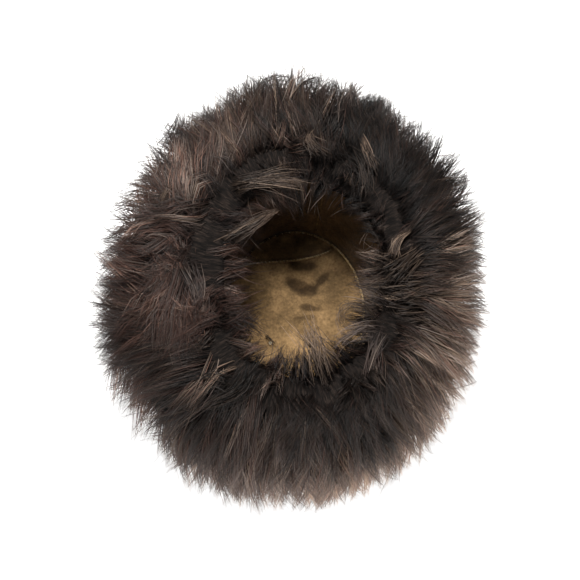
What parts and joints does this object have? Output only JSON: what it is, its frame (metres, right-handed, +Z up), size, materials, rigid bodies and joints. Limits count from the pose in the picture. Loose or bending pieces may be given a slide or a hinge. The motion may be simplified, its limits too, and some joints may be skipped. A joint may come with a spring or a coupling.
{
  "type": "fur hat",
  "caption": "Round long-haired sheepskin hat lying on its crown, with an open head hollow of bare suede, sewn crown pieces and deep fur that rolls over the rim.",
  "frame": {"origin": "middle of the hat's outer box on the surface that it lies on, below its crown", "axes": "+Z up out of the head opening, +Y along the longer axis of the head oval, towards the small crown piece, +X to the right seen from above"},
  "size_m": [0.3646, 0.4222, 0.1984],
  "materials": {
    "suede": "matte napped suede",
    "seam": "matte raw edge of sewn skin",
    "fur": "long wavy hair with a soft sheen"
  },
  "bodies": {
    "root": {"side_band": "suede", "crown_main": "suede", "crown_segment": "suede", "crown_seam": "seam", "cross_seam": "seam", "side_seam": "seam", "band_fur": "fur", "crown_fur": "fur"}
  },
  "joints": []
}
